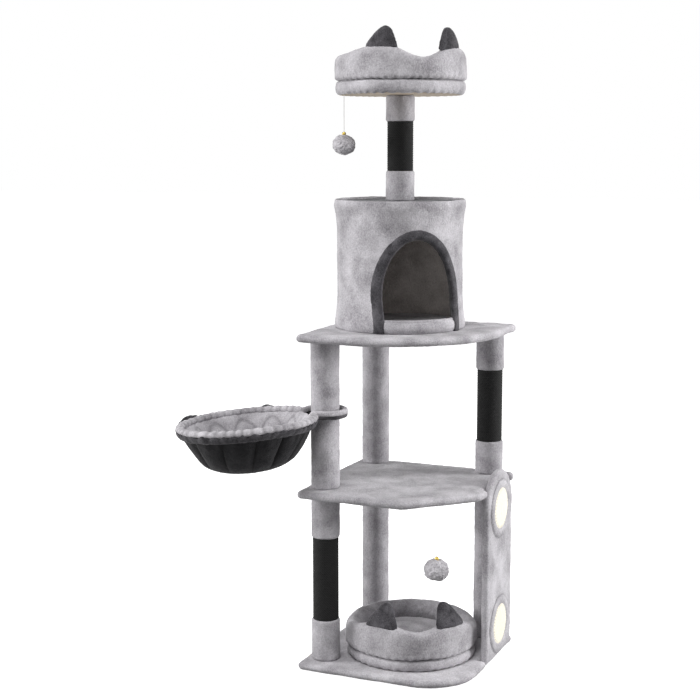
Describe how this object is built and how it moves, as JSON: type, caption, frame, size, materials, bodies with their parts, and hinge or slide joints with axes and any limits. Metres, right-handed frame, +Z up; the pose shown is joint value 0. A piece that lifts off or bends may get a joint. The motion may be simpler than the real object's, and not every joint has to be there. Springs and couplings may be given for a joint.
{
  "type": "cat tree",
  "caption": "Free-standing cat tree: plush shelves on posts with rope bands, a condo, a round perch, a loose bed, a hammock, a scratching panel and hanging toys.",
  "frame": {"origin": "centre of the base's underside", "axes": "+X right along the front edge of the base, +Y to the back, +Z up"},
  "size_m": [0.7154, 0.707, 1.6468],
  "materials": {
    "light_plush": "light grey short-pile plush",
    "dark_plush": "dark grey short-pile plush",
    "black_rope": "black sisal rope wound in close turns",
    "cream_rope": "natural sisal mat",
    "roof_cloth": "mid grey plush",
    "board": "raw particle board",
    "tube_card": "spiral-wound paper tube",
    "steel": "zinc plated",
    "brass": "polished",
    "string": "twisted thread"
  },
  "bodies": {
    "stand": {"base_board": "board", "base_bolt_back_left": "steel", "base_bolt_back_right": "steel", "base_bolt_front_left": "steel", "base_cover": "light_plush", "condo_roof": "roof_cloth", "condo_wall": "light_plush", "door_trim": "dark_plush", "lower_back_left_sleeve": "light_plush", "lower_back_left_tube": "tube_card", "lower_back_right_sleeve": "light_plush", "lower_back_right_tube": "tube_card", "lower_front_left_foot_sleeve": "light_plush", "lower_front_left_head_sleeve": "light_plush", "lower_front_left_rope": "black_rope", "lower_front_left_tube": "tube_card", "middle_board": "board", "middle_cover": "light_plush", "middle_stud_back_left": "steel", "middle_stud_back_right": "steel", "middle_stud_front_left": "steel", "perch_base": "light_plush", "perch_board": "board", "perch_bolt": "steel", "perch_left_ear": "dark_plush", "perch_right_ear": "dark_plush", "perch_rim": "light_plush", "roof_bolt": "steel", "scratch_pad_lower": "cream_rope", "scratch_pad_upper": "cream_rope", "scratch_panel": "light_plush", "top_post_foot_sleeve": "light_plush", "top_post_head_sleeve": "light_plush", "top_post_rope": "black_rope", "top_post_tube": "tube_card", "upper_back_left_sleeve": "light_plush", "upper_back_left_tube": "tube_card", "upper_back_right_foot_sleeve": "light_plush", "upper_back_right_head_sleeve": "light_plush", "upper_back_right_rope": "black_rope", "upper_back_right_tube": "tube_card", "upper_board": "board", "upper_bolt_back_left": "steel", "upper_bolt_back_right": "steel", "upper_bolt_front_left": "steel", "upper_cover": "light_plush", "upper_front_left_sleeve": "light_plush", "upper_front_left_tube": "tube_card"},
    "hammock": {"hammock_hoop": "steel", "hammock_basket": "dark_plush"},
    "bed": {"bed_base": "light_plush", "bed_rim": "light_plush", "bed_left_ear": "dark_plush", "bed_right_ear": "dark_plush"},
    "perch_toy_cord": {"perch_toy_string": "string"},
    "perch_toy": {"perch_toy_bell": "brass", "perch_toy_ball": "light_plush"},
    "shelf_toy_cord": {"shelf_toy_string": "string"},
    "shelf_toy": {"shelf_toy_bell": "brass", "shelf_toy_ball": "light_plush"}
  },
  "joints": [
    {"name": "hammock_swivel", "type": "hinge", "parent": "stand", "child": "hammock", "pos_m": [-0.171, -0.151, 0.685], "axis": [0, 0, 1], "range_deg": [-90, 130]},
    {"name": "bed_slide", "type": "slide", "parent": "stand", "child": "bed", "axis": [0.342, -0.9397, 0], "range_m": [0, 0.42]},
    {"name": "perch_toy_swing", "type": "hinge", "parent": "stand", "child": "perch_toy_cord", "pos_m": [-0.174, -0.022, 1.484], "axis": [0.9143, 0.4051, 0], "range_deg": [-60, 60]},
    {"name": "perch_toy_rock", "type": "hinge", "parent": "perch_toy_cord", "child": "perch_toy", "pos_m": [-0.174, -0.022, 1.392], "axis": [-0.4051, 0.9143, 0], "range_deg": [-50, 50]},
    {"name": "shelf_toy_swing", "type": "hinge", "parent": "stand", "child": "shelf_toy_cord", "pos_m": [0.127, -0.1215, 0.457], "axis": [0.6848, 0.7288, 0], "range_deg": [-55, 55]},
    {"name": "shelf_toy_rock", "type": "hinge", "parent": "shelf_toy_cord", "child": "shelf_toy", "pos_m": [0.127, -0.1215, 0.321], "axis": [0.7288, -0.6848, 0], "range_deg": [-45, 45]}
  ]
}
